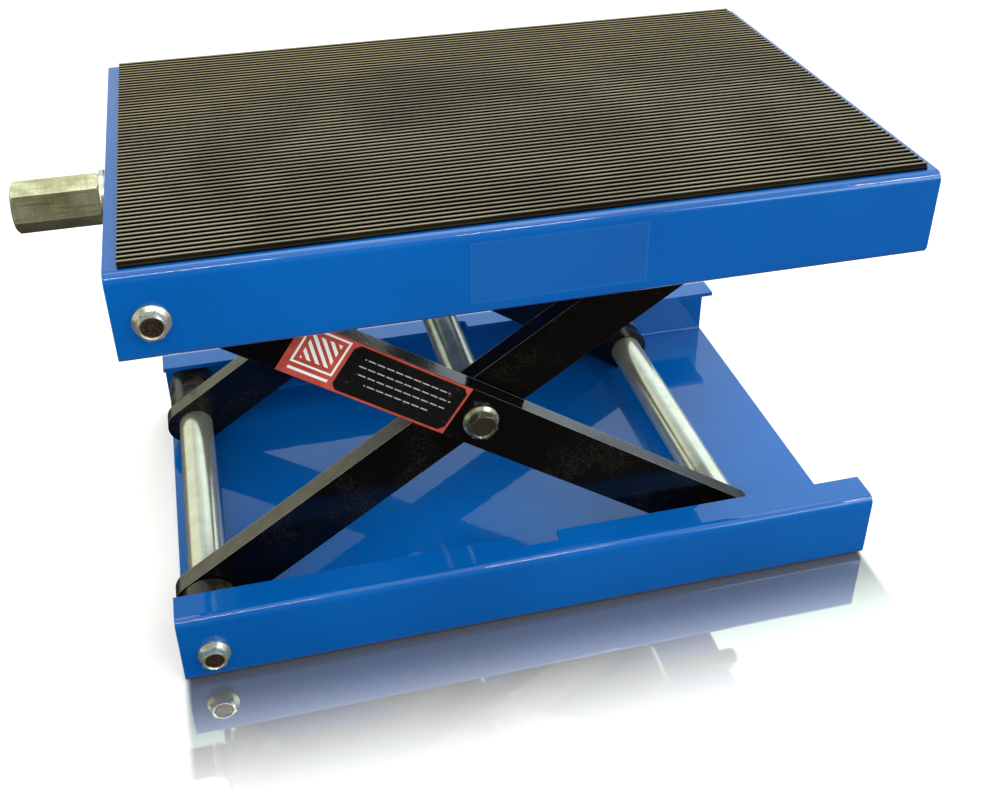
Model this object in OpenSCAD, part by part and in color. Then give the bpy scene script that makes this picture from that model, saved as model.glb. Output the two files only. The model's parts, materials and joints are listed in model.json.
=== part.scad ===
// Motorcycle paddock stand of the scissor-lift kind: a folded channel deck with
// a ribbed rubber mat, carried over a folded channel base by two pairs of
// crossed arms, and raised by a lead screw that is turned at a hexagon.
// Frame: +X runs along the stand away from the drive hexagon, +Y to the rear,
// +Z up. The origin is on the floor, under the middle of the base. Millimetres.

/* [Channels] */
// Length of the base and of the deck along X
channel_l = 406; // [400:1:430]
// Width of the base and of the deck along Y
channel_w = 266; // [264:1:290]
// Height of the base channel
base_h = 45; // [45:1:50]
// Height of the deck channel, a little deeper than the base
deck_h = 46.2; // [45:0.1:47]
// Thickness of the channel steel
sheet_t = 3; // [2.5:0.1:3]
// Outside radius of the folds
bend_r = 5; // [4:0.5:6]
// Width of the lips that are folded inwards
lip_w = 20.3; // [18:0.1:20.6]
// Length of the notch that lets the centre bolt into each lip
notch_l = 26; // [24:1:32]
// Depth of that notch from the edge of the lip
notch_d = 8.5; // [3.5:0.5:9]

/* [Scissor] */
// Height of the deck plate above the floor in the modelled position
deck_z = 256; // [180:1:330]
// Distance between the end pivots of an arm
arm_pitch = 378; // [376:0.5:378]
// Distance of the fixed pivots from the middle of the stand
pivot_x = 185.5; // [184.5:0.1:186]
// Height of the lower pivots above the floor
low_pivot_z = 19.1; // [19.1:0.1:20]
// Depth of the upper pivots below the deck plate's top
high_pivot_d = 25.1; // [25.1:0.1:25.4]
// Width of an arm bar
arm_w = 31.8; // [30:0.1:31.8]
// Thickness of an arm bar
arm_t = 12; // [10:0.5:12]
// Distance of the outer arms' outer faces from the middle plane
arm_y = 104; // [104:0.5:104.5]
// Gap between an inner and an outer arm
arm_gap = 1.5; // [1.5:0.1:2]

/* [Shafts] */
// Diameter of the fixed and sliding cross rods
rod_d = 22; // [21:0.5:23]
// Diameter of the centre shaft between the inner arms
centre_d = 20; // [19:0.5:21]
// Diameter of the sliding rods' end journals
journal_d = 18; // [16:0.5:19]
// Diameter of the centre shaft's end journals
stub_d = 16; // [15:0.5:17]
// Diameter of the rollers
roller_d = 32; // [30:0.5:32]
// Width of the rollers
roller_w = 22; // [18:1:22]
// Radial running clearance of every turning fit
fit = 0.05; // [0.03:0.01:0.08]

/* [Screw drive] */
// Diameter of the lead screw
screw_d = 16; // [14:1:16]
// Size across the flats of the drive hexagon
hex_flats = 24; // [22:1:26]
// Length of the drive hexagon
hex_l = 45; // [40:1:50]
// Turn of the drive hexagon about its axis
hex_turn = 18; // [0:1:59]

/* [Mat] */
// Thickness of the rubber mat with its ribs
mat_t = 3; // [2.5:0.1:4]
// Number of ribs across the mat
ribs = 62; // [40:2:66]

/* [Hidden] */
$fn = 96;

blue = [0.03, 0.32, 0.66];
black = [0.06, 0.06, 0.06];
zinc = [0.78, 0.80, 0.72];
rubber = [0.16, 0.15, 0.13];
nylon = [0.10, 0.10, 0.10];
label_red = [0.75, 0.2, 0.15];
film_blue = [0.12, 0.40, 0.72];

overlap = 0.01;   // joins stacked solids
overrun = 1;      // carries a cutter past a face
face_gap = 0.05;  // between faces that meet
skin_gap = 0.01;  // behind the label and the film

// Pivots: both fixed ones at fixed_x, both sliding ones at slide_x
low_z = low_pivot_z;
high_z = deck_z - high_pivot_d;
lean = asin((high_z - low_z) / arm_pitch);
fixed_x = -pivot_x;
slide_x = fixed_x + arm_pitch * cos(lean);
centre_x = (fixed_x + slide_x) / 2;
centre_z = (low_z + high_z) / 2;

// Distances from the middle plane
web_y = channel_w / 2 - sheet_t;         // inner faces of the webs
outer_arm_in_y = arm_y - arm_t;          // inner faces of the outer arms
inner_arm_y = outer_arm_in_y - arm_gap;  // outer faces of the inner arms
roller_y = arm_y + 2;                    // inner faces of the rollers

// Bosses in the middle of the two upper rods
boss_r = 15;
boss_l = 36;
seat_flat = 10.5;   // from the rod's axis to the flat on the hexagon's side
collar_flat = 11;   // from the rod's axis to the flat on the collar's side

// Stack on the screw, from the fixed upper rod towards the hexagon
race_t = 2.5;
ball_r = 2.2;
ball_play = 0.25;
washer_t = 3;
seat_race_x = fixed_x - seat_flat - face_gap - race_t;
race_x = seat_race_x - 2 * ball_r - ball_play;
washer_x = race_x - race_t;
hex_x = washer_x - washer_t;
screw_in_hex = 24;

// Collar on the other side of that rod
collar_w = 12;
collar_x = fixed_x + collar_flat + 0.2;
pin_x = collar_x + collar_w / 2;
pin_r = 2;
pin_l = 27;
pin_cut_l = 40;

// ---- Turned parts and holes ----

// A turned bar along +Z from the origin, chamfered at both ends
module bar_z(r, length, chamfer) {
    rotate_extrude() polygon([
        [0, 0], [r - chamfer, 0], [r, chamfer],
        [r, length - chamfer], [r - chamfer, length], [0, length]
    ]);
}

module bar_y(r, y0, y1, chamfer) {
    translate([0, y0, 0]) rotate([-90, 0, 0]) bar_z(r, y1 - y0, chamfer);
}

module bar_x(r, x0, x1, chamfer) {
    translate([x0, 0, 0]) rotate([0, 90, 0]) bar_z(r, x1 - x0, chamfer);
}

// A bar along Y that reaches y to both sides of the middle plane
module shaft_y(r, y, chamfer) {
    bar_y(r, -y, y, chamfer);
}

module hole_y(r, y0, y1) {
    translate([0, y0, 0]) rotate([-90, 0, 0]) cylinder(r = r, h = y1 - y0);
}

module hole_x(r, x0, x1) {
    translate([x0, 0, 0]) rotate([0, 90, 0]) cylinder(r = r, h = x1 - x0);
}

module ring_y(outer_r, inner_r, y0, y1, chamfer) {
    difference() {
        bar_y(outer_r, y0, y1, chamfer);
        hole_y(inner_r, y0 - overrun, y1 + overrun);
    }
}

module ring_x(outer_r, inner_r, x0, x1, chamfer) {
    difference() {
        bar_x(outer_r, x0, x1, chamfer);
        hole_x(inner_r, x0 - overrun, x1 + overrun);
    }
}

// The children as modelled, and mirrored in the middle plane
module both_sides() {
    for (s = [0, 1]) mirror([0, s, 0]) children();
}

// Bolt holes into both ends of a shaft, of the given depth from end_y
module end_holes(bolt_d, end_y, depth) {
    both_sides() hole_y(bolt_d / 2 + fit, end_y - depth, end_y + overrun);
}

// ---- Bolts ----

// Hexagon flange bolt along +Z: the flange rests on z = 0 and the shank runs down
module flange_bolt(d, flange_d, flats, head_h, length) {
    flange_t = 1.1;
    skirt_h = 1.6;
    crown_h = 1.2;
    dish_d = 0.9;
    corner_r = flats / 2 / cos(30);
    cylinder(r = flange_d / 2, h = flange_t);
    translate([0, 0, flange_t - overlap])
        cylinder(r1 = flange_d / 2 - 0.1, r2 = flats / 2 + 0.4, h = skirt_h);
    difference() {
        intersection() {
            rotate(30) cylinder(r = corner_r, h = head_h, $fn = 6);
            union() {
                cylinder(r = flats, h = head_h - crown_h);
                translate([0, 0, head_h - crown_h - overlap])
                    cylinder(r1 = corner_r + 0.4, r2 = flats / 2 - 0.5, h = crown_h + overlap);
            }
        }
        translate([0, 0, head_h - dish_d])
            cylinder(r1 = flats / 2 - 1.7, r2 = flats / 2 - 0.9, h = dish_d + 0.1);
    }
    translate([0, 0, -length]) cylinder(r = d / 2, h = length + 0.5);
}

// Puts a bolt at y on both sides, head outwards, turned about its own axis
module bolt_pair(x, y, z, turn) {
    for (s = [-1, 1])
        translate([x, s * y, z]) rotate([-s * 90, 0, 0]) rotate(turn * s) children();
}

// ---- Channels and fixed cross rods, shared by the base and the deck ----

rod_bolt_d = 8;
rod_hole_depth = 24;

// Rounded rectangle from y = 0 up, w wide and h high
module round_rect(w, h, r) {
    for (sx = [-1, 1], y = [r, h - r]) translate([sx * (w / 2 - r), y]) circle(r);
    translate([-w / 2 + r, 0]) square([w - 2 * r, h]);
    translate([-w / 2, r]) square([w, h - 2 * r]);
}

// Section of the folded channel: floor, two webs and two inward lips
module channel_section(h) {
    difference() {
        round_rect(channel_w, h, bend_r);
        translate([0, sheet_t])
            round_rect(channel_w - 2 * sheet_t, h - 2 * sheet_t, bend_r - sheet_t);
        translate([-channel_w / 2 + lip_w, h - sheet_t - overrun])
            square([channel_w - 2 * lip_w, sheet_t + 2 * overrun]);
    }
}

// Outline of the notch in a lip, opening towards +Y
module notch_outline() {
    r = 3;
    reach = notch_d + 4;
    translate([-notch_l / 2 + r, 0]) square([notch_l - 2 * r, reach]);
    translate([-notch_l / 2, r]) square([notch_l, reach - r]);
    for (s = [-1, 1]) translate([s * (notch_l / 2 - r), r]) circle(r, $fn = 48);
}

// One channel h high with its floor down; bolt_z is the height of its rod bolts
module channel(bolt_z, h) {
    difference() {
        rotate([90, 0, 90]) translate([0, 0, -channel_l / 2])
            linear_extrude(channel_l) channel_section(h);
        for (s = [-1, 1]) {
            translate([fixed_x, s * (channel_w / 2 - sheet_t / 2), bolt_z])
                hole_y(rod_bolt_d / 2 + 0.3, -sheet_t, sheet_t);
            translate([0, s * (channel_w / 2 - lip_w + notch_d), h - sheet_t - overrun])
                mirror([0, s > 0 ? 1 : 0, 0])
                    linear_extrude(sheet_t + 2 * overrun) notch_outline();
        }
    }
}

module cross_bar() {
    shaft_y(rod_d / 2, web_y - face_gap, 0.8);
}

module rod_bolts(z, turn) {
    bolt_pair(fixed_x, channel_w / 2, z, turn)
        flange_bolt(d = rod_bolt_d, flange_d = 17.6, flats = 13, head_h = 6.6, length = 24);
}

// Spacers on a cross rod between an arm's outer face at face_y and the web
module rod_spacers(z, face_y) {
    translate([fixed_x, 0, z]) both_sides()
        ring_y(15.9, rod_d / 2 + fit, face_y + 0.3, web_y - 0.2, 1.0);
}

// ---- Base ----

module base_channel() {
    color(blue) channel(low_z, base_h);
}

module base_cross_rod() {
    color(zinc) translate([fixed_x, 0, low_z]) difference() {
        cross_bar();
        end_holes(rod_bolt_d, web_y, rod_hole_depth);
    }
}

module base_rod_bolts() {
    color(zinc) rod_bolts(low_z, 9);
}

module base_rod_spacers() {
    color(nylon) rod_spacers(low_z, inner_arm_y);
}

// ---- Arms ----

// Outline of an arm bar along +X between its end pivots. Its fixed end is
// carried out on the upper side by a smaller nose circle, for a fuller corner
module arm_outline(fixed_r, centre_r, slide_r) {
    half_w = arm_w / 2;
    nose_x = 4.9;
    nose_y = 2.9;
    nose_r = half_w - nose_y;
    // Direction, up from -X, of the lower tangent's contact points on both circles
    tangent = 2 * atan2(nose_y, nose_x) - 90;
    // The polygon between the circles stays just inside them
    inset = 0.002;
    end_r = half_w - inset;
    nose_in_r = nose_r - inset;
    difference() {
        union() {
            translate([0, -half_w]) square([arm_pitch, 2 * half_w]);
            circle(half_w);
            translate([arm_pitch, 0]) circle(half_w);
            translate([-nose_x, nose_y]) circle(nose_r);
            polygon([
                [2, end_r],
                [-nose_x, end_r],
                [-nose_x - nose_in_r * cos(tangent), nose_y + nose_in_r * sin(tangent)],
                [-end_r * cos(tangent), end_r * sin(tangent)],
                [2, 0]
            ]);
        }
        circle(fixed_r);
        translate([arm_pitch / 2, 0]) circle(centre_r);
        translate([arm_pitch, 0]) circle(slide_r);
    }
}

// An arm bar with its fixed pivot at height z, rising by angle, from y0 to y0 + arm_t.
// flip is 1 when the fuller corner of the fixed end is on the lower side
module arm(z, angle, flip, y0, centre_r) {
    translate([fixed_x, y0 + arm_t, z]) rotate([0, -angle, 0]) rotate([90, 0, 0])
        mirror([0, flip, 0]) linear_extrude(arm_t)
            arm_outline(rod_d / 2 + fit, centre_r, journal_d / 2 + fit);
}

module inner_arm(y0) {
    color(black) arm(low_z, lean, 0, y0, centre_d / 2 + fit);
}

module outer_arm(y0) {
    color(black) arm(high_z, -lean, 1, y0, stub_d / 2 + fit);
}

module inner_arm_front() { inner_arm(-inner_arm_y); }
module inner_arm_rear() { inner_arm(inner_arm_y - arm_t); }
module outer_arm_front() { outer_arm(-arm_y); }
module outer_arm_rear() { outer_arm(outer_arm_in_y); }

// Label on the outer face of the front outer arm
module arm_label() {
    label_l = 101;
    label_w = 31.2;
    label_t = 0.18;
    start = 73;  // from the fixed pivot, along the arm
    color(label_red) translate([fixed_x, 0, high_z]) rotate([0, lean, 0])
        translate([start, -arm_y - skin_gap - label_t, -label_w / 2])
            cube([label_l, label_t, label_w]);
}

// ---- Centre pivot ----

centre_bolt_d = 10;
stub_end_y = arm_y + 0.05;

module centre_shaft() {
    color(zinc) translate([centre_x, 0, centre_z]) difference() {
        union() {
            shaft_y(centre_d / 2, outer_arm_in_y - 0.1, 0.4);
            shaft_y(stub_d / 2, stub_end_y, 0.4);
        }
        end_holes(centre_bolt_d, arm_y, 26);
    }
}

module centre_bolts() {
    color(zinc) bolt_pair(centre_x, stub_end_y + 0.01, centre_z, -14)
        flange_bolt(d = centre_bolt_d, flange_d = 19.9, flats = 15, head_h = 7.2, length = 25);
}

module centre_thrust_washers() {
    color(nylon) translate([centre_x, 0, centre_z]) both_sides()
        ring_y(15.5, centre_d / 2 + fit, inner_arm_y + face_gap, outer_arm_in_y - face_gap, 0.2);
}

// ---- Sliding rods and rollers ----

// A rod between two arms whose inner faces are at arm_in_y, with its end journals
module slide_rod(arm_in_y) {
    shaft_y(rod_d / 2, arm_in_y - face_gap, 0.6);
    shaft_y(journal_d / 2, web_y - 0.6, 0.8);
}

module boss() {
    shaft_y(boss_r, boss_l / 2, 1.5);
}

// Bore for the lead screw through a boss
module screw_bore() {
    hole_x(screw_d / 2 + fit, -20, 20);
}

module lower_slide_rod() {
    color(zinc) translate([slide_x, 0, low_z]) slide_rod(outer_arm_in_y);
}

module lower_roller_washers() {
    color(zinc) translate([slide_x, 0, low_z]) both_sides()
        ring_y(14, journal_d / 2 + fit, arm_y + 0.1, arm_y + 1.6, 0.2);
}

module nut_rod() {
    color(zinc) translate([slide_x, 0, high_z]) difference() {
        union() {
            slide_rod(inner_arm_y - arm_t);
            boss();
        }
        screw_bore();
    }
}

module nut_rod_sleeves() {
    color(zinc) translate([slide_x, 0, high_z]) both_sides()
        ring_y(12.5, journal_d / 2 + fit, inner_arm_y + 0.1, arm_y + 1.8, 0.5);
}

// A roller with chamfered edges and a ring-shaped recess around the hub on its outer face
module roller() {
    recess_d = 2;
    difference() {
        bar_y(roller_d / 2, 0, roller_w, 1.2);
        hole_y(journal_d / 2 + fit, -overrun, roller_w + overrun);
        translate([0, roller_w - recess_d, 0]) rotate([-90, 0, 0]) difference() {
            cylinder(r = roller_d / 2 - 2.6, h = recess_d + overrun);
            translate([0, 0, -overrun])
                cylinder(r = journal_d / 2 + 2, h = recess_d + 3 * overrun);
        }
    }
}

// front is 1 for the front side, 0 for the rear
module roller_at(z, front) {
    color(nylon) translate([slide_x, 0, z]) mirror([0, front, 0])
        translate([0, roller_y, 0]) roller();
}

module lower_roller_front() { roller_at(low_z, 1); }
module lower_roller_rear() { roller_at(low_z, 0); }
module upper_roller_front() { roller_at(high_z, 1); }
module upper_roller_rear() { roller_at(high_z, 0); }

// ---- Deck ----

module deck_channel() {
    color(blue) translate([0, 0, deck_z]) mirror([0, 0, 1]) channel(high_pivot_d, deck_h);
}

// Mat with a thin web and chamfered ribs along X on top
module deck_mat() {
    half_w = channel_w / 2 - 5.8;
    pitch = 2 * half_w / ribs;
    web_z = mat_t - 1.5;
    shoulder_z = mat_t - 0.3;
    // Rib section: place across the pitch as a fraction, height
    rib = [
        [0.20, web_z], [0.24, shoulder_z], [0.30, mat_t],
        [0.70, mat_t], [0.76, shoulder_z], [0.80, web_z]
    ];
    color(rubber) translate([-channel_l / 2 + 6.7, 0, deck_z])
        rotate([90, 0, 90]) linear_extrude(channel_l - 11.9)
            polygon(concat(
                [[-half_w, 0], [-half_w, web_z]],
                [for (i = [0 : ribs - 1], point = rib)
                    [-half_w + (i + point[0]) * pitch, point[1]]],
                [[half_w, web_z], [half_w, 0]]
            ));
}

module deck_cross_rod() {
    block = 30;
    color(zinc) translate([fixed_x, 0, high_z]) difference() {
        union() {
            cross_bar();
            boss();
        }
        end_holes(rod_bolt_d, web_y, rod_hole_depth);
        screw_bore();
        // Flats for the axial bearing and for the collar
        for (x = [-block - seat_flat, collar_flat])
            translate([x, -block, -block]) cube([block, 2 * block, 2 * block]);
    }
}

module deck_rod_bolts() {
    color(zinc) rod_bolts(high_z, 20);
}

module deck_rod_spacers() {
    color(nylon) rod_spacers(high_z, arm_y);
}

// Two flat bars welded under the deck plate, on which the upper rollers run
module roller_tracks() {
    track_t = high_pivot_d - sheet_t - roller_d / 2 - 0.1;
    start_x = -30;
    end_x = channel_l / 2 - 2;
    color(blue) both_sides()
        translate([start_x, roller_y, deck_z - sheet_t - track_t])
            cube([end_x - start_x, web_y - roller_y - 2.2, track_t]);
}

// Film on the front web of the deck
module flange_film() {
    film_t = 0.12;
    color(film_blue) translate([-39.5, -channel_w / 2 - skin_gap - film_t, deck_z - 39])
        cube([88.5, film_t, 33]);
}

// ---- Lead screw and its axial bearing ----

// A flat ring around the screw, as wide as the bosses
module screw_washer(x0, x1) {
    color(zinc) translate([0, 0, high_z]) ring_x(boss_r, screw_d / 2 + 0.3, x0, x1, 0.4);
}

module thrust_race_seat() { screw_washer(seat_race_x, seat_race_x + race_t); }
module thrust_race_shaft() { screw_washer(washer_x, race_x); }
module drive_washer() { screw_washer(hex_x + face_gap, washer_x - face_gap); }

module thrust_ball_cage() {
    balls = 12;
    ball_ring_r = 11.6;
    cage_x = 0.9;  // half the cage's thickness
    color(zinc) translate([(seat_race_x + race_x) / 2, 0, high_z]) {
        difference() {
            ring_x(boss_r - 0.6, screw_d / 2 + 0.8, -cage_x, cage_x, 0.2);
            for (i = [0 : balls - 1]) rotate([i * 360 / balls, 0, 0])
                translate([0, 0, ball_ring_r]) hole_x(ball_r + 0.15, -3, 3);
        }
        for (i = [0 : balls - 1]) rotate([i * 360 / balls, 0, 0])
            translate([0, 0, ball_ring_r]) sphere(r = ball_r, $fn = 48);
    }
}

// Cross hole along Y for the collar's pin
module pin_hole() {
    translate([pin_x, 0, 0]) rotate([90, 0, 0]) translate([0, 0, -pin_cut_l / 2])
        cylinder(r = pin_r + fit, h = pin_cut_l, $fn = 48);
}

module lead_screw() {
    color(zinc) translate([0, 0, high_z]) difference() {
        bar_x(screw_d / 2, hex_x - screw_in_hex, channel_l / 2 - 1, 1.5);
        pin_hole();
    }
}

// Hexagon with chamfered ends, bored for the screw and then narrower to its outer end
module drive_hex() {
    chamfer = 1.5;
    corner_r = hex_flats / 2 / cos(30);
    face_r = hex_flats / 2 - 0.6;
    cone_r = corner_r + 0.2;
    screw_r = screw_d / 2;
    color(zinc) translate([hex_x, 0, high_z]) rotate([0, -90, 0]) difference() {
        intersection() {
            rotate(hex_turn) cylinder(r = corner_r, h = hex_l, $fn = 6);
            union() {
                cylinder(r1 = face_r, r2 = cone_r, h = chamfer);
                translate([0, 0, chamfer - overlap])
                    cylinder(r = hex_flats, h = hex_l - 2 * chamfer + 2 * overlap);
                translate([0, 0, hex_l - chamfer])
                    cylinder(r1 = cone_r, r2 = face_r, h = chamfer);
            }
        }
        translate([0, 0, -overrun])
            cylinder(r = screw_r + fit, h = screw_in_hex + overrun + 0.5);
        translate([0, 0, screw_in_hex]) cylinder(r = screw_r - 1, h = hex_l);
        translate([0, 0, hex_l - chamfer])
            cylinder(r1 = screw_r - 1, r2 = screw_r + 0.6, h = chamfer + 0.1);
    }
}

module lock_collar() {
    color(zinc) translate([0, 0, high_z]) difference() {
        ring_x(boss_r - 1, screw_d / 2 + fit, collar_x, collar_x + collar_w, 1);
        pin_hole();
    }
}

// Slotted spring pin through the collar and the screw
module collar_pin() {
    slot_w = 0.6;
    color(zinc) translate([pin_x, 0, high_z]) rotate([90, 0, 0]) difference() {
        translate([0, 0, -pin_l / 2]) bar_z(pin_r, pin_l, 0.4);
        translate([0, 0, -pin_cut_l / 2]) cylinder(r = 1.2, h = pin_cut_l, $fn = 32);
        translate([0, -slot_w / 2, -pin_cut_l / 2]) cube([5, slot_w, pin_cut_l]);
    }
}

base_channel();
base_cross_rod();
base_rod_bolts();
base_rod_spacers();
inner_arm_front();
inner_arm_rear();
centre_shaft();
centre_bolts();
centre_thrust_washers();
outer_arm_front();
outer_arm_rear();
lower_slide_rod();
lower_roller_washers();
arm_label();
lower_roller_front();
lower_roller_rear();
deck_channel();
deck_mat();
deck_cross_rod();
deck_rod_bolts();
deck_rod_spacers();
roller_tracks();
flange_film();
thrust_race_seat();
nut_rod();
nut_rod_sleeves();
upper_roller_front();
upper_roller_rear();
lead_screw();
drive_hex();
drive_washer();
thrust_race_shaft();
thrust_ball_cage();
lock_collar();
collar_pin();
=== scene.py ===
import json
import math
from functools import cached_property

import bmesh
import bpy
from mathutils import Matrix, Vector


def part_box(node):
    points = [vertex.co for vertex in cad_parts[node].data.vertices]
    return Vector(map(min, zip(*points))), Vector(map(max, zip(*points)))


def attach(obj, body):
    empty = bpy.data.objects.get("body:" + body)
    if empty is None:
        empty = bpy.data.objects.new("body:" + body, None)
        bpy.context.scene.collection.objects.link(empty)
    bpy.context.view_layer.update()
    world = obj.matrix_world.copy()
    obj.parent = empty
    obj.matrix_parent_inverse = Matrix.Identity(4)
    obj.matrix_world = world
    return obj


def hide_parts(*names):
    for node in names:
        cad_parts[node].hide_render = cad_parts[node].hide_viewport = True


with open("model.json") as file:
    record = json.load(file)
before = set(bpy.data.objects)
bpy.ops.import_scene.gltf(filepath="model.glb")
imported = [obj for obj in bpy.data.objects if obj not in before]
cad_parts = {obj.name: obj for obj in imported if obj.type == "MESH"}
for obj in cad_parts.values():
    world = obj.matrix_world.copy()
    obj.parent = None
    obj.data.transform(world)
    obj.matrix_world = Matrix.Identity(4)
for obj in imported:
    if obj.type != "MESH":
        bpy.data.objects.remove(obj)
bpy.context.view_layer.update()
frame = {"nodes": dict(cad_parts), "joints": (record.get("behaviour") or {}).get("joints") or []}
NODES = frame["nodes"]
JOINTS = {joint["name"]: Vector(joint["pos_m"]) for joint in frame["joints"]}


# ---------------------------------------------------------------- shader helpers
class Net:
    """Short names for the shader nodes of one node tree."""

    def __init__(self, tree, coordinates):
        self.tree = tree
        self.coordinates = coordinates
        tree.nodes.clear()

    def node(self, kind):
        return self.tree.nodes.new("ShaderNode" + kind)

    @cached_property
    def pos(self):
        return self.node("TexCoord").outputs[self.coordinates]

    @cached_property
    def normal(self):
        return self.node("NewGeometry").outputs["Normal"]

    def put(self, socket, value):
        """Links a socket, or sets a plain value; colours get an alpha of 1."""
        if isinstance(value, bpy.types.NodeSocket):
            self.tree.links.new(value, socket)
        elif isinstance(value, tuple) and len(value) == 3 and socket.type == "RGBA":
            socket.default_value = (*value, 1.0)
        else:
            socket.default_value = value

    def split(self, socket):
        n = self.node("SeparateXYZ")
        self.put(n.inputs[0], socket)
        return n.outputs

    def calc(self, op, a, b=0.0):
        n = self.node("Math")
        n.operation = op
        self.put(n.inputs[0], a)
        self.put(n.inputs[1], b)
        return n.outputs[0]

    def plus(self, a, b):
        return self.calc("ADD", a, b)

    def minus(self, a, b):
        return self.calc("SUBTRACT", a, b)

    def times(self, a, b):
        return self.calc("MULTIPLY", a, b)

    def length(self, a, b):
        return self.calc("SQRT", self.plus(self.times(a, a), self.times(b, b)))

    def dot(self, a, b):
        n = self.node("VectorMath")
        n.operation = "DOT_PRODUCT"
        self.put(n.inputs[0], a)
        self.put(n.inputs[1], b)
        return n.outputs["Value"]

    def brighten(self, color, factor):
        """A colour multiplied by a number."""
        n = self.node("VectorMath")
        n.operation = "SCALE"
        self.put(n.inputs[0], color)
        self.put(n.inputs["Scale"], factor)
        return n.outputs[0]

    def scaled(self, *scale):
        """Positions stretched per axis; a large scale packs the pattern tightly."""
        n = self.node("Mapping")
        self.put(n.inputs["Vector"], self.pos)
        n.inputs["Scale"].default_value = scale
        return n.outputs[0]

    def noise(self, scale, detail=3, rough=0.55, vec=None, distort=0):
        n = self.node("TexNoise")
        self.put(n.inputs["Vector"], self.pos if vec is None else vec)
        n.inputs["Scale"].default_value = scale
        n.inputs["Detail"].default_value = detail
        n.inputs["Roughness"].default_value = rough
        n.inputs["Distortion"].default_value = distort
        return n.outputs["Fac"]

    def ramp(self, value, lo, hi, to=(0, 1)):
        """A smooth step from to[0] at lo to to[1] at hi; lo may be above hi."""
        n = self.node("MapRange")
        n.interpolation_type = "SMOOTHSTEP"
        self.put(n.inputs["Value"], value)
        n.inputs["From Min"].default_value = lo
        n.inputs["From Max"].default_value = hi
        n.inputs["To Min"].default_value = to[0]
        n.inputs["To Max"].default_value = to[1]
        return n.outputs[0]

    def patches(self, lo, hi, to=(0, 1), **noise):
        """Noise passed through a ramp."""
        return self.ramp(self.noise(**noise), lo, hi, to)

    def mix(self, mask, under, over, opacity=None):
        """One colour over another where the mask is 1, thinned by the opacity."""
        if opacity is not None:
            mask = self.times(mask, opacity)
        n = self.node("Mix")
        n.data_type = "RGBA"
        self.put(n.inputs[0], mask)
        self.put(n.inputs[6], under)
        self.put(n.inputs[7], over)
        return n.outputs[2]

    def bump(self, height, strength, distance, normal=None):
        n = self.node("Bump")
        n.inputs["Strength"].default_value = strength
        n.inputs["Distance"].default_value = distance
        self.put(n.inputs["Height"], height)
        if normal is not None:
            self.put(n.inputs["Normal"], normal)
        return n.outputs[0]

    def edges(self, radius, lo=0.02, hi=0.25):
        """About 1 along sharp outside edges, 0 on flat faces."""
        n = self.node("Bevel")
        n.samples = 4
        n.inputs["Radius"].default_value = radius
        return self.ramp(self.minus(1, self.dot(n.outputs[0], self.normal)), lo, hi)

    def rect(self, u, v, u_span, v_span, soft=0.00006):
        """1 inside a rectangle in two coordinates, 0 outside it."""
        sides = []
        for value, (lo, hi) in ((u, u_span), (v, v_span)):
            sides.append(self.times(self.ramp(value, lo - soft, lo + soft),
                                    self.ramp(value, hi + soft, hi - soft)))
        return self.times(*sides)


class Mat(Net):
    """A procedural material with one principled shader."""

    def __init__(self, name):
        self.material = bpy.data.materials.new(name)
        self.material.use_nodes = True
        super().__init__(self.material.node_tree, "Object")
        self.surface = self.node("OutputMaterial").inputs[0]
        self.bsdf = self.node("BsdfPrincipled")
        self.put(self.surface, self.bsdf.outputs[0])

    def set(self, **inputs):
        for name, value in inputs.items():
            self.put(self.bsdf.inputs[name.replace("_", " ")], value)


# ---------------------------------------------------------------- materials
def blue_paint():
    m = Mat("blue_gloss_paint")
    base = m.mix(m.patches(scale=7, detail=2, lo=0.35, hi=0.65),
                 under=(0, 0.084, 0.338), over=(0, 0.097, 0.380))
    # dust settles on faces that look up
    up = m.ramp(m.split(m.normal)[2], lo=0.6, hi=0.95)
    dust = m.times(m.patches(scale=420, detail=5, rough=0.7, lo=0.60, hi=0.72),
                   m.times(up, m.patches(scale=24, lo=0.42, hi=0.66)))
    base = m.mix(dust, base, over=(0.26, 0.32, 0.38), opacity=0.14)
    chips = m.times(m.edges(radius=0.0010), m.patches(scale=300, rough=0.6, lo=0.52, hi=0.62))
    base = m.mix(chips, base, over=(0.10, 0.26, 0.52), opacity=0.35)
    smudge = m.noise(scale=34, detail=4, rough=0.6)
    m.set(Base_Color=base, Specular_IOR_Level=0.04, Coat_Weight=1, Coat_IOR=1.55,
          Roughness=m.ramp(smudge, lo=0.3, hi=0.75, to=(0.24, 0.38)),
          Coat_Roughness=m.plus(m.ramp(smudge, lo=0.35, hi=0.75, to=(0.014, 0.036)),
                                m.times(dust, 0.10)))
    peel = m.noise(scale=330, detail=2, rough=0.45)
    m.set(Coat_Normal=m.bump(peel, strength=0.025, distance=0.0006),
          Normal=m.bump(peel, strength=0.03, distance=0.0006))
    return m.material


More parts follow.
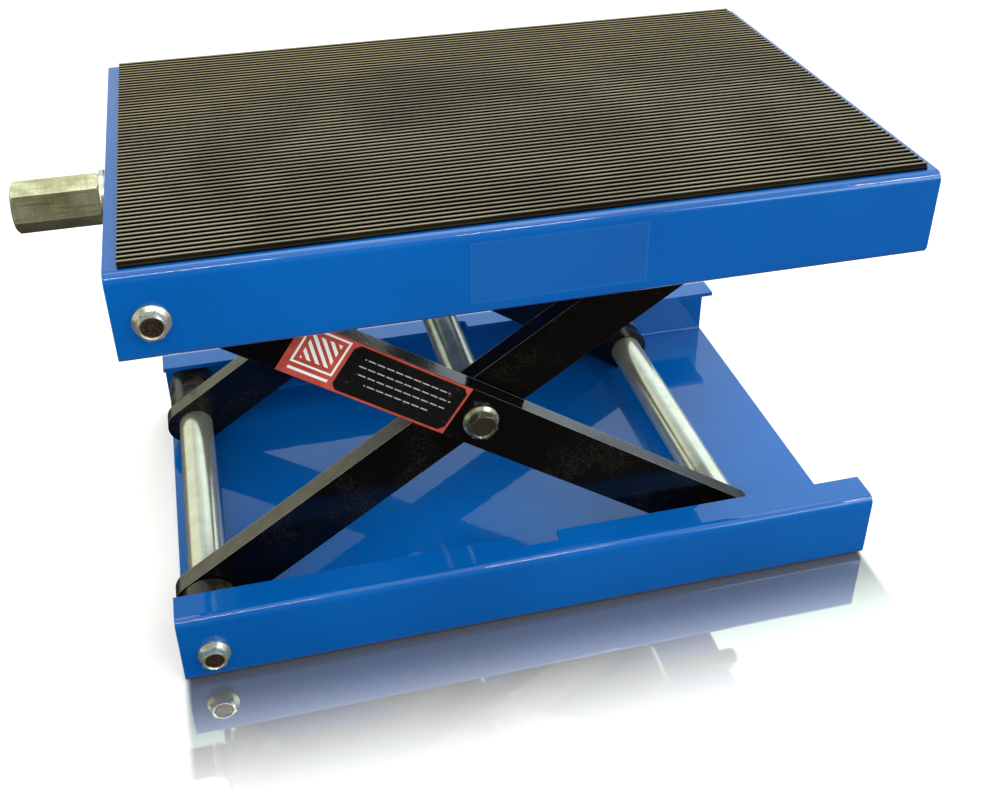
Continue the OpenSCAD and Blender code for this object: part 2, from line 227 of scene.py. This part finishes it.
def black_paint():
    m = Mat("black_gloss_paint")
    x = m.split(m.pos)[0]
    _, ny, nz = m.split(m.normal)
    patch = m.noise(scale=22, detail=4, rough=0.6)
    dust = m.times(m.patches(scale=900, detail=4, rough=0.7, lo=0.46, hi=0.66),
                   m.ramp(patch, lo=0.46, hi=0.68))
    # dust is thicker on the faces that look to the front or rear
    side = m.ramp(m.calc("ABSOLUTE", ny), lo=0.5, hi=0.9)
    base = m.mix(m.times(dust, m.plus(0.16, m.times(side, 0.12))),
                 under=(0.0014, 0.0014, 0.0015), over=(0.075, 0.054, 0.028))
    chips = m.times(m.edges(radius=0.0008), m.patches(scale=260, rough=0.6, lo=0.50, hi=0.60))
    base = m.mix(chips, base, over=(0.10, 0.095, 0.085), opacity=0.30)
    # a painted reflection: olive patches on upward faces towards -X
    olive_reflection_faces = m.times(m.ramp(nz, lo=0.45, hi=0.75), m.ramp(x, lo=-0.05, hi=-0.12))
    film = m.patches(scale=130, detail=4, rough=0.6, lo=0.25, hi=0.75, to=(0.55, 0.95))
    base = m.mix(m.times(olive_reflection_faces, film), base, over=(0.070, 0.064, 0.038))
    # upper edges are painted pale: a painted highlight, broken into patches like worn paint
    edge_wear_and_highlight = m.times(m.edges(radius=0.0010, lo=0.01, hi=0.10), m.ramp(nz, lo=0.10, hi=0.55))
    worn = m.patches(scale=70, lo=0.25, hi=0.55, to=(0.20, 0.60))
    base = m.mix(m.times(edge_wear_and_highlight, worn), base, over=(0.36, 0.35, 0.31))
    m.set(Base_Color=base, Specular_IOR_Level=0.15, Coat_Weight=0.55,
          Roughness=m.plus(m.ramp(patch, lo=0.35, hi=0.7, to=(0.18, 0.30)),
                           m.times(dust, 0.25)),
          Coat_Roughness=m.plus(m.patches(scale=60, lo=0.3, hi=0.7, to=(0.05, 0.12)),
                                m.times(dust, 0.35)))
    peel = m.noise(scale=260, rough=0.5)
    m.set(Normal=m.bump(peel, strength=0.10, distance=0.0007),
          Coat_Normal=m.bump(peel, strength=0.12, distance=0.0007))
    return m.material


def zinc(name, dark, light, rough, lay, groove, stain):
    """Plated turned steel. lay is the axis of the turning marks, groove their strength."""
    m = Mat(name)
    stretch = m.scaled(*(1400 if axis == lay else 30 for axis in "XYZ"))
    streak = m.noise(scale=1, rough=0.6, vec=stretch)
    cloud = m.noise(scale=90, detail=5, rough=0.65)
    base = m.mix(m.ramp(cloud, lo=0.30, hi=0.72), dark, light)
    spots = m.patches(scale=300, rough=0.65, lo=0.64, hi=0.74)
    base = m.mix(spots, base, over=(0.33, 0.31, 0.24), opacity=stain)
    dents = m.bump(m.noise(scale=180), strength=0.035, distance=0.0006)
    m.set(Base_Color=base, Metallic=0.84,
          Roughness=m.plus(m.times(streak, 0.10),
                           m.ramp(cloud, lo=0.3, hi=0.7, to=(rough - 0.015, rough + 0.025))),
          Normal=m.bump(streak, strength=groove, distance=0.0002, normal=dents))
    return m.material


def hexagon_zinc():
    """Yellow-passivated bar with fine cross-milling marks, scuffs and pale worn edges."""
    m = Mat("pale_yellow_zinc")
    lines = m.noise(scale=1, detail=4, rough=0.75, vec=m.scaled(2600, 60, 60))
    long_marks = m.noise(scale=1, rough=0.6, vec=m.scaled(40, 900, 900))
    cloud = m.noise(scale=60, detail=5, rough=0.65)
    base = m.mix(m.ramp(cloud, lo=0.34, hi=0.66),
                 under=(0.60, 0.565, 0.34), over=(0.95, 0.93, 0.67))
    base = m.mix(m.ramp(lines, lo=0.42, hi=0.70, to=(0, 0.55)), base, over=(0.42, 0.40, 0.28))
    base = m.mix(m.ramp(long_marks, lo=0.54, hi=0.70, to=(0, 0.62)), base,
                 over=(0.34, 0.32, 0.22))
    worn = m.edges(radius=0.0012, lo=0.01, hi=0.12)
    base = m.mix(worn, base, over=(0.95, 0.93, 0.76), opacity=0.9)
    dents = m.bump(m.noise(scale=170), strength=0.14, distance=0.0006)
    m.set(Base_Color=base, Metallic=1,
          Roughness=m.plus(m.ramp(cloud, lo=0.3, hi=0.7, to=(0.24, 0.36)),
                           m.times(lines, 0.08)),
          Normal=m.bump(lines, strength=0.35, distance=0.00015, normal=dents))
    return m.material


def bolt_zinc(node, dish, dark_head=None):
    """Yellow-passivated bolt: iridescent flange, near-white edges that are a painted highlight and
    partly worn plating, brown in the turned recess.

    dish is the radius of the recess; dark_head, if given, the radius of a darkened head.
    """
    m = Mat(node + "_plating")
    low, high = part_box(node)
    x, y, z = m.split(m.pos)
    radius = m.length(m.minus(x, (low.x + high.x) / 2), m.minus(z, (low.z + high.z) / 2))
    film = m.noise(scale=190, rough=0.6, distort=0.8)
    base = m.mix(m.ramp(film, lo=0.36, hi=0.52),
                 under=(0.80, 0.76, 0.50), over=(0.86, 0.87, 0.74))
    base = m.mix(m.ramp(film, lo=0.54, hi=0.66), base, over=(0.78, 0.66, 0.62))
    base = m.mix(m.patches(scale=260, lo=0.60, hi=0.72, to=(0, 0.7)), base,
                 over=(0.66, 0.78, 0.74))
    face = m.times(m.ramp(radius, lo=dish + 0.0001, hi=dish - 0.0003),
                   m.ramp(m.calc("ABSOLUTE", y), lo=high.y - 0.00125, hi=high.y - 0.0010))
    brown = m.mix(m.patches(scale=700, detail=4, rough=0.7, lo=0.40, hi=0.66),
                  under=(0.085, 0.058, 0.042), over=(0.23, 0.175, 0.13))
    base = m.mix(face, base, brown)
    # the sharp edges are painted near-white: a painted highlight, partly worn plating
    edge_wear_and_highlight = m.edges(radius=0.0006, lo=0.02, hi=0.16)
    base = m.mix(m.times(edge_wear_and_highlight, m.minus(1, face)), base, over=(0.97, 0.96, 0.84))
    if dark_head:
        base = m.mix(0.55, base, over=(0.30, 0.29, 0.18))
        head = m.ramp(radius, lo=dark_head + 0.0004, hi=dark_head - 0.0010)
        base = m.mix(head, base, over=(0.10, 0.09, 0.065), opacity=0.85)
    rings = m.calc("SINE", m.times(radius, 15000))
    dents = m.bump(m.noise(scale=420), strength=0.10, distance=0.0003)
    m.set(Base_Color=base, Metallic=0.86,
          Roughness=m.plus(m.times(face, 0.12), m.ramp(film, lo=0.3, hi=0.7, to=(0.15, 0.25))),
          Normal=m.bump(m.times(rings, face), strength=0.20, distance=0.00006, normal=dents))
    return m.material


def nylon():
    m = Mat("black_nylon")
    cloud = m.noise(scale=60, detail=4, rough=0.6)
    grit = m.noise(scale=700, rough=0.6)
    base = m.mix(m.ramp(cloud, lo=0.45, hi=0.7),
                 under=(0.012, 0.011, 0.008), over=(0.060, 0.052, 0.034))
    turning = m.bump(m.noise(scale=1, detail=2, vec=m.scaled(40, 1500, 40)),
                     strength=0.12, distance=0.0002)
    m.set(Base_Color=base, Specular_IOR_Level=0.55,
          Roughness=m.ramp(cloud, lo=0.3, hi=0.7, to=(0.18, 0.34)),
          Normal=m.bump(grit, strength=0.10, distance=0.0002, normal=turning))
    return m.material


RIBS = 62
# dark rubbed patches on the mat: centre x, centre y, half length, half width
RUBBED_PATCHES = ((-0.03, 0.035, 0.075, 0.05), (0.03, -0.045, 0.06, 0.035))


def mat_rubber():
    """Ribbed rubber: worn taupe crests with a painted highlight, grooves painted near-black as
    painted shade, softly blotched.
    """
    m = Mat("ribbed_rubber")
    low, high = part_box("deck_mat")
    x, y, z = m.split(m.pos)
    crests = m.ramp(z, lo=high.z - 0.00034, hi=high.z - 0.00002)
    # the upper part of the outer walls is pale too; their lower part keeps the near-black painted
    # shade
    ends = m.calc("MAXIMUM", m.ramp(x, lo=low.x + 0.0003, hi=low.x),
                  m.ramp(x, lo=high.x - 0.0003, hi=high.x))
    sides = m.calc("MAXIMUM", m.ramp(y, lo=low.y + 0.0013, hi=low.y + 0.0003),
                   m.ramp(y, lo=high.y - 0.0013, hi=high.y - 0.0003))
    wall = m.times(m.calc("MAXIMUM", ends, sides),
                   m.ramp(z, lo=high.z - 0.0026, hi=high.z - 0.0016, to=(0, 0.5)))
    raised = m.calc("MAXIMUM", crests, wall)

    blotch = m.noise(scale=9, detail=4, rough=0.62, distort=0.6)
    streaks = m.noise(scale=1, rough=0.6, vec=m.scaled(7, 110, 7))
    grain = m.noise(scale=1500, rough=0.7)
    color = m.mix(m.ramp(blotch, lo=0.36, hi=0.66),
                  under=(0.078, 0.068, 0.043), over=(0.146, 0.128, 0.084))
    rear = m.ramp(y, lo=-0.02, hi=0.13)
    color = m.mix(rear, color, over=(0.150, 0.122, 0.052), opacity=0.6)
    color = m.mix(m.ramp(streaks, lo=0.42, hi=0.78, to=(0, 0.35)), color,
                  over=(0.070, 0.061, 0.042))
    color = m.mix(m.ramp(grain, lo=0.45, hi=0.7, to=(0, 0.30)), color,
                  over=(0.175, 0.158, 0.115))
    for cx, cy, half_x, half_y in RUBBED_PATCHES:
        across = m.calc("POWER", m.calc("DIVIDE", m.minus(x, cx), half_x), 2)
        along = m.calc("POWER", m.calc("DIVIDE", m.minus(y, cy), half_y), 2)
        ragged = m.plus(m.plus(across, along), m.times(blotch, 1.4))
        color = m.mix(m.ramp(ragged, lo=2, hi=0.4, to=(0, 0.42)), color,
                      over=(0.048, 0.043, 0.032))

    # each rib is painted pale along its middle, a painted highlight that is partly worn rubber,
    # and darker at its shoulders as painted shade
    rib_pitch = (high.y - low.y) / RIBS
    phase = m.calc("FRACT", m.calc("DIVIDE", m.minus(y, low.y), rib_pitch))
    off_middle = m.calc("ABSOLUTE", m.minus(phase, 0.5))
    rib_highlight_and_wear = m.brighten(color, m.ramp(off_middle, lo=0.04, hi=0.19, to=(2.35, 0.34)))
    dents = m.bump(m.noise(scale=240), strength=0.15, distance=0.0004)
    # below the crests and the upper walls the rubber is painted near-black: painted shade in the
    # grooves
    m.set(Base_Color=m.mix(raised, under=(0.0012, 0.0011, 0.0009), over=rib_highlight_and_wear),
          Roughness=m.ramp(blotch, lo=0.3, hi=0.7, to=(0.50, 0.68)),
          Specular_IOR_Level=m.times(raised, 0.14),
          Normal=m.bump(grain, strength=0.25, distance=0.0002, normal=dents))
    return m.material


def thread_steel():
    m = Mat("rolled_thread_steel")
    cloud = m.noise(scale=70, detail=4, rough=0.6)
    base = m.mix(m.ramp(cloud, lo=0.35, hi=0.7),
                 under=(0.42, 0.41, 0.38), over=(0.60, 0.58, 0.53))
    grease = m.patches(scale=30, lo=0.5, hi=0.7)
    m.set(Base_Color=m.mix(grease, base, over=(0.12, 0.09, 0.05), opacity=0.5),
          Metallic=m.ramp(grease, lo=0, hi=1, to=(1, 0.55)),
          Roughness=m.ramp(cloud, lo=0.3, hi=0.7, to=(0.20, 0.36)),
          Normal=m.bump(m.noise(scale=700), strength=0.12, distance=0.0002))
    return m.material


# the label runs from start to end along its arm, measured from the deck pivot
LABEL_START, LABEL_END, LABEL_HALF = 0.073, 0.174, 0.0156
LABEL_BORDER = 0.0013
PANEL_OFFSET = 0.0305  # from the label's start to its black panel
RULE_SPANS = ((0.039, 0.091), (0.038, 0.094), (0.039, 0.093), (0.046, 0.086))
RULE_TOP, RULE_PITCH, RULE_HALF = 0.0075, 0.0047, 0.00036


def label_print():
    """Printed vinyl: a red border, a black panel with pale rules and a pale hatched frame."""
    m = Mat("printed_label")
    # the arm's axis mirrors the line from the lift joint to the nut pivot
    rise = JOINTS["nut_pivot"] - JOINTS["lift"]
    lean = math.atan2(rise.z, rise.x)
    arm_axis = Vector((math.cos(lean), 0, -math.sin(lean)))
    cross_axis = Vector((math.sin(lean), 0, math.cos(lean)))
    pivot = JOINTS["deck_pivot"]
    s = m.minus(m.dot(m.pos, arm_axis), pivot.dot(arm_axis))
    v = m.minus(m.dot(m.pos, cross_axis), pivot.dot(cross_axis))
    start, half = LABEL_START, LABEL_HALF
    pale = (0.80, 0.79, 0.74)
    red = m.mix(m.patches(scale=120, lo=0.3, hi=0.7),
                under=(0.36, 0.040, 0.026), over=(0.47, 0.066, 0.044))

    # black panel, its corners cut at 45 degrees
    p0, p1 = start + PANEL_OFFSET, LABEL_END - LABEL_BORDER
    panel_half = half - LABEL_BORDER
    panel = m.rect(s, v, (p0, p1), (-panel_half, panel_half))
    off_middle = m.calc("ABSOLUTE", m.minus(s, (p0 + p1) / 2))
    corner = m.plus(m.minus(off_middle, (p1 - p0) / 2),
                    m.minus(m.calc("ABSOLUTE", v), panel_half))
    panel = m.times(panel, m.ramp(corner, lo=-0.0029, hi=-0.0031))
    color = m.mix(panel, red, over=(0.004, 0.004, 0.004))

    def frame_rect(inset):
        return m.rect(s, v, (start + 0.0042 + inset, start + 0.0282 - inset),
                      (-half + 0.0076 + inset, half - 0.0016 - inset))

    # pale frame, red field, hatching and a bar below them
    color = m.mix(frame_rect(inset=0), color, pale)
    color = m.mix(frame_rect(inset=0.0012), color, red)
    hatch = m.calc("SINE", m.times(m.plus(s, v), 1250))
    hatch = m.times(m.ramp(hatch, lo=-0.15, hi=0.15), frame_rect(inset=0.0036))
    color = m.mix(hatch, color, pale)
    bar = m.rect(s, v, (start + 0.0048, start + 0.0276), (-half + 0.0034, -half + 0.0050))
    color = m.mix(bar, color, pale)

    # broken rules, each with its gaps shifted
    for i, (r0, r1) in enumerate(RULE_SPANS):
        level = half - RULE_TOP - i * RULE_PITCH
        rule = m.rect(s, v, (start + r0, start + r1), (level - RULE_HALF, level + RULE_HALF))
        gaps = m.calc("SINE", m.times(m.plus(s, 0.0031 * i), 1150))
        dashes = m.times(rule, m.ramp(gaps, lo=-0.86, hi=-0.78))
        color = m.mix(dashes, color, pale, opacity=0.42)
    scuff = m.patches(scale=260, detail=5, rough=0.7, lo=0.60, hi=0.74)
    m.set(Base_Color=m.mix(scuff, color, over=(0.20, 0.18, 0.15), opacity=0.35),
          Roughness=m.patches(scale=50, lo=0.3, hi=0.7, to=(0.28, 0.42)),
          Specular_IOR_Level=0.5, Coat_Weight=0.3, Coat_Roughness=0.12,
          Normal=m.bump(m.noise(scale=90), strength=0.15, distance=0.0004))
    return m.material


def clear_film():
    """Clear film over blue paint, a little paler along its border."""
    m = Mat("clear_film")
    low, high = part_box("flange_film")
    x, _, z = m.split(m.pos)
    border = 0.0009
    base = m.mix(m.patches(scale=7, detail=2, lo=0.35, hi=0.65),
                 under=(0, 0.085, 0.342), over=(0.001, 0.099, 0.386))
    inner = m.rect(x, z, (low.x + border, high.x - border), (low.z + border, high.z - border),
                   soft=0.0003)
    ripple = m.bump(m.noise(scale=55, detail=2), strength=0.10, distance=0.0010)
    m.set(Base_Color=m.mix(m.minus(1, inner), base, over=(0.003, 0.105, 0.395)),
          Roughness=0.22, Coat_Weight=1,
          Coat_Roughness=m.patches(scale=40, lo=0.3, hi=0.7, to=(0.03, 0.10)),
          Coat_Normal=ripple, Normal=ripple)
    return m.material


# ---------------------------------------------------------------- CAD nodes
def assign(node, material):
    mesh = NODES[node].data
    mesh.materials.clear()
    mesh.materials.append(material)
    for p in mesh.polygons:
        p.material_index = 0


def soften(node, width, segments, angle):
    b = NODES[node].modifiers.new("edge_break", "BEVEL")
    b.width = width
    b.segments = segments
    b.limit_method = "ANGLE"
    b.angle_limit = math.radians(angle)
    b.harden_normals = True
    b.miter_outer = "MITER_ARC"


ARMS = "inner_arm_front inner_arm_rear outer_arm_front outer_arm_rear"

# material, the nodes that wear it
FINISHES = (
    (blue_paint(), "base_channel deck_channel roller_tracks"),
    (black_paint(), ARMS),
    (zinc("zinc_rod", dark=(0.72, 0.73, 0.58), light=(0.83, 0.835, 0.70),
          rough=0.16, lay="Y", groove=0.0875, stain=0.12),
     "base_cross_rod deck_cross_rod lower_slide_rod lower_roller_washers"),
    # a darker copy of the rod zinc: painted shade for the rods that lie in shadow
    (zinc("zinc_rod_shaded", dark=(0.38, 0.42, 0.39), light=(0.54, 0.58, 0.53),
          rough=0.17, lay="Y", groove=0.125, stain=0.30),
     "centre_shaft nut_rod nut_rod_sleeves"),
    (zinc("zinc_rod_x", dark=(0.66, 0.68, 0.58), light=(0.78, 0.79, 0.72),
          rough=0.22, lay="X", groove=0.15, stain=0.25),
     "drive_washer lock_collar"),
    (hexagon_zinc(), "drive_hex"),
    (zinc("bearing_steel", dark=(0.62, 0.63, 0.64), light=(0.72, 0.73, 0.74),
          rough=0.10, lay="X", groove=0.075, stain=0.15),
     "thrust_race_seat thrust_race_shaft thrust_ball_cage collar_pin"),
    (nylon(), "base_rod_spacers deck_rod_spacers centre_thrust_washers lower_roller_front "
              "lower_roller_rear upper_roller_front upper_roller_rear"),
    (mat_rubber(), "deck_mat"),
)
for finish, names in FINISHES:
    for name in names.split():
        assign(name, finish)

# bevel width, segments, least angle in degrees, nodes
EDGE_BREAKS = (
    (0.0006, 2, 40, "base_channel deck_channel roller_tracks"),
    (0.0007, 3, 40, ARMS),
    (0.00025, 2, 25, "base_rod_bolts deck_rod_bolts centre_bolts"),
    (0.0005, 3, 25, "drive_hex"),
)
for width, segments, angle, names in EDGE_BREAKS:
    for name in names.split():
        soften(name, width, segments, angle)

assign("arm_label", label_print())
for name in ("base_rod_bolts", "deck_rod_bolts"):
    assign(name, bolt_zinc(name, dish=0.0053))
assign("centre_bolts", bolt_zinc("centre_bolts", dish=0.0061, dark_head=0.0086))
assign("flange_film", clear_film())


# ---------------------------------------------------------------- lead screw
THREAD_PITCH, THREAD_DEPTH = 0.003, 0.0016
THREAD_START = -0.158
THREAD_END_GAP = 0.004  # from the thread to the +X end of the screw
FADE_IN, FADE_OUT = 0.004, 0.002
SHANK_RING = -0.1995  # x of one ring on the plain shank
CHAMFER_LENGTH, CHAMFER_DEPTH = 0.0015, 0.0013
RING_STEP, RING_POINTS = 0.0003, 44
FLANK, ROOT_END = 0.12, 0.45  # fractions of the pitch


def thread_cut(phase):
    """Depth of the trapezoidal groove, 0 at the crest and 1 at the root."""
    if phase < FLANK:
        return phase / FLANK
    if phase < ROOT_END:
        return 1.0
    if phase < ROOT_END + FLANK:
        return 1.0 - (phase - ROOT_END) / FLANK
    return 0.0


def threaded_screw():
    """The lead screw with its thread as real geometry, coaxial with the CAD cylinder."""
    low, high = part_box("lead_screw")
    axis_z = (low.z + high.z) / 2
    radius = (high.z - low.z) / 2
    thread_end = high.x - THREAD_END_GAP
    stations = [low.x, low.x + CHAMFER_LENGTH, SHANK_RING, THREAD_START]
    x = THREAD_START
    while x < thread_end:
        x += RING_STEP
        stations.append(min(x, thread_end))
    stations += [high.x - CHAMFER_LENGTH, high.x]

    bm = bmesh.new()
    rings = []
    for x in stations:
        fade = (min(1.0, max(0.0, (x - THREAD_START) / FADE_IN))
                * min(1.0, max(0.0, (thread_end - x) / FADE_OUT)))
        ring = []
        for j in range(RING_POINTS):
            phase = ((x - THREAD_START) / THREAD_PITCH - j / RING_POINTS) % 1.0
            r = radius - THREAD_DEPTH * thread_cut(phase) * fade
            if x in (low.x, high.x):
                r = radius - CHAMFER_DEPTH
            a = 2 * math.pi * j / RING_POINTS
            ring.append(bm.verts.new((x, r * math.cos(a), axis_z + r * math.sin(a))))
        rings.append(ring)
    for a, b in zip(rings, rings[1:]):
        for j in range(RING_POINTS):
            k = (j + 1) % RING_POINTS
            bm.faces.new((a[j], a[k], b[k], b[j]))
    bm.faces.new(list(reversed(rings[0])))
    bm.faces.new(rings[-1])
    bm.normal_update()
    bmesh.ops.recalc_face_normals(bm, faces=bm.faces)
    mesh = bpy.data.meshes.new("lead_screw_thread")
    bm.to_mesh(mesh)
    bm.free()
    for p in mesh.polygons:
        p.use_smooth = len(p.vertices) == 4
    screw = bpy.data.objects.new("lead_screw_thread", mesh)
    bpy.context.scene.collection.objects.link(screw)
    mesh.materials.append(thread_steel())
    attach(screw, "screw")
    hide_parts("lead_screw")


threaded_screw()


# ---------------------------------------------------------------- stage
def floor_material():
    m = Mat("pale_floor")
    x, y, _ = m.split(m.pos)
    seen = m.node("LightPath").outputs["Is Camera Ray"]
    # far from the stand the floor runs out into plain white, so no horizon shows
    far = m.ramp(m.length(x, y), lo=0.35, hi=1.1)
    visible = m.mix(far, under=(0.84, 0.84, 0.84), over=(0, 0, 0))
    m.set(Base_Color=m.mix(seen, under=(0.50, 0.50, 0.50), over=visible),
          Roughness=0.6, Specular_IOR_Level=0, Emission_Color=(1, 1, 1),
          Emission_Strength=m.times(seen, m.plus(0.10, m.times(far, 0.92))))
    gloss = m.node("BsdfGlossy")
    # the reflection's colour turns dark grey close to the stand's foot: a painted shadow along it
    m.put(gloss.inputs["Color"], m.mix(m.ramp(y, lo=-0.19, hi=-0.134),
                                       under=(0.86, 0.88, 0.90), over=(0.34, 0.345, 0.35)))
    gloss.inputs["Roughness"].default_value = 0.03
    # the sheen shows just in front of the stand and fades away from it
    depth = m.times(m.ramp(y, lo=-0.240, hi=-0.140, to=(0, 0.92)),
                    m.ramp(y, lo=-0.10, hi=-0.128))
    width = m.ramp(m.calc("ABSOLUTE", m.minus(x, 0)), lo=0.206, hi=0.200)
    blend = m.node("MixShader")
    m.put(blend.inputs[0], m.times(depth, width))
    m.put(blend.inputs[1], m.bsdf.outputs[0])
    m.put(blend.inputs[2], gloss.outputs[0])
    m.put(m.surface, blend.outputs[0])
    return m.material


def floor():
    half, z = 6.0, -0.0004
    corners = [(-half, -half, z), (half, -half, z), (half, half, z), (-half, half, z)]
    mesh = bpy.data.meshes.new("floor")
    mesh.from_pydata(corners, [], [(0, 1, 2, 3)])
    o = bpy.data.objects.new("floor", mesh)
    bpy.context.scene.collection.objects.link(o)
    mesh.materials.append(floor_material())
    o.visible_glossy = False


floor()

# name, location, target, (width, height), watts, colour, seen in reflections
# the narrow lamps overhead draw the thin lines along the bends
LIGHTS = (
    ("key_softbox", (-0.30, -1.25, 1.08), (0, -0.05, 0.05), (1.9, 0.9), 12.3, (1, 1, 0.98), False),
    ("left_softbox", (-1.5, 0.15, 0.50), (0, 0, 0.05), (0.4, 0.9), 7, (1, 1, 0.90), True),
    ("right_softbox", (1.35, -0.15, 0.36), (0, 0, 0), (0.9, 0.35), 14, (1, 1, 0.95), False),
    ("back_strip", (0.25, 1.4, 0.42), (0, 0, 0.05), (1.4, 0.35), 20, (1, 1, 0.90), False),
    ("top_softbox", (0.3, 0.3, 1.9), (0, 0, 0.1), (1.4, 0.8), 5, (1, 1, 1), True),
    ("lamp_a", (-0.30, -1.35, 1.75), (0, 0, 0.2), (0.50, 0.030), 3.4, (1, 1, 1), True),
    ("lamp_b", (0.45, -1.25, 1.75), (0, 0, 0.2), (0.30, 0.030), 2.4, (1, 1, 1), True),
    ("edge_softbox", (1.05, -1.28, 0.95), (0.15, -0.13, 0.25), (0.9, 0.5), 5, (0.85, 1, 1), True),
    ("lamp_c", (1.25, -1.00, 1.75), (0, 0, 0.2), (0.35, 0.030), 3.5, (1, 1, 1), True),
)


def area(name, location, target, size, power, color, mirrored):
    light = bpy.data.lights.new(name, "AREA")
    light.shape = "RECTANGLE"
    light.size, light.size_y = size
    light.energy = power
    light.color = color
    o = bpy.data.objects.new(name, light)
    o.location = location
    aim = Vector(target) - Vector(location)
    o.rotation_euler = aim.to_track_quat("-Z", "Y").to_euler()
    o.visible_glossy = mirrored
    bpy.context.scene.collection.objects.link(o)


for light_row in LIGHTS:
    area(*light_row)


def reflected_room(n, x, y, z):
    """A dark floor, a dim wall behind the camera and a bright wall behind the stand."""
    low = n.mix(n.ramp(x, lo=-0.2, hi=0.5),
                under=(0.010, 0.012, 0.016), over=(0.080, 0.066, 0.050))
    low = n.mix(n.ramp(z, lo=-0.72, hi=-0.92), low, over=(0.17, 0.115, 0.065))

    near = n.mix(n.ramp(z, lo=-0.16, hi=0.10), low, over=(0.16, 0.16, 0.12))
    side = n.ramp(n.calc("ABSOLUTE", x), lo=0.55, hi=0.90)
    near = n.mix(n.times(side, n.ramp(z, lo=-0.30, hi=0)), near, over=(0.48, 0.56, 0.38))
    near = n.mix(n.ramp(z, lo=0.60, hi=0.80), near, over=(1.10, 1.12, 0.90))
    near = n.mix(n.times(n.ramp(x, lo=0.30, hi=0.52), n.ramp(z, lo=0.02, hi=0.24)), near,
                 over=(0.85, 1.05, 1.05))

    band = n.mix(n.ramp(x, lo=-0.40, hi=0.12),
                 under=(0.26, 0.25, 0.20), over=(1.05, 1.22, 1.30))
    band = n.mix(n.ramp(x, lo=-0.16, hi=-0.34), band, over=(0.85, 0.88, 0.74))
    above = n.mix(n.ramp(x, lo=0.05, hi=0.32),
                  under=(0.40, 0.52, 0.56), over=(1.00, 1.18, 1.05))
    far = n.mix(n.ramp(z, lo=0.58, hi=0.68), band, above)
    far = n.mix(n.ramp(z, lo=0.74, hi=0.84), far, over=(1.85, 1.90, 1.52))
    far = n.mix(n.ramp(z, lo=-0.12, hi=-0.02), under=(0.05, 0.05, 0.05), over=far)
    return n.mix(n.ramp(y, lo=-0.25, hi=0.30), near, far)


def sky():
    """White to the eye, grey to white as soft light, and a room in reflections."""
    world = bpy.data.worlds.new("studio")
    bpy.context.scene.world = world
    world.use_nodes = True
    n = Net(world.node_tree, "Generated")
    x, y, z = n.split(n.pos)
    ray = n.node("LightPath").outputs
    soft = n.mix(n.ramp(y, lo=-0.5, hi=0.5), under=(0.46, 0.46, 0.46), over=(1.25, 1.25, 1.22))
    soft = n.mix(n.ramp(z, lo=0.3, hi=0.9), soft, over=(0.62, 0.62, 0.60))
    soft = n.mix(ray["Is Camera Ray"], soft, over=(1, 1, 1))
    background = n.node("Background")
    n.put(background.inputs["Color"],
          n.mix(ray["Is Glossy Ray"], soft, reflected_room(n, x, y, z)))
    background.inputs["Strength"].default_value = 1.0
    n.put(n.node("OutputWorld").inputs[0], background.outputs[0])
    world.cycles.sampling_method = "NONE"


sky()


def camera():
    data = bpy.data.cameras.new("camera")
    data.sensor_width = 36.0
    data.lens = 44.5449
    data.shift_y = -0.06535
    data.clip_start, data.clip_end = 0.02, 40.0
    o = bpy.data.objects.new("camera", data)
    o.location = (-0.14806, -0.61774, 0.52028)
    o.rotation_euler = (0.993345, 0.007105, -0.246421)
    bpy.context.scene.collection.objects.link(o)
    bpy.context.scene.camera = o


camera()

bpy.context.scene.view_settings.view_transform = "Standard"
bpy.context.scene.view_settings.look = "None"
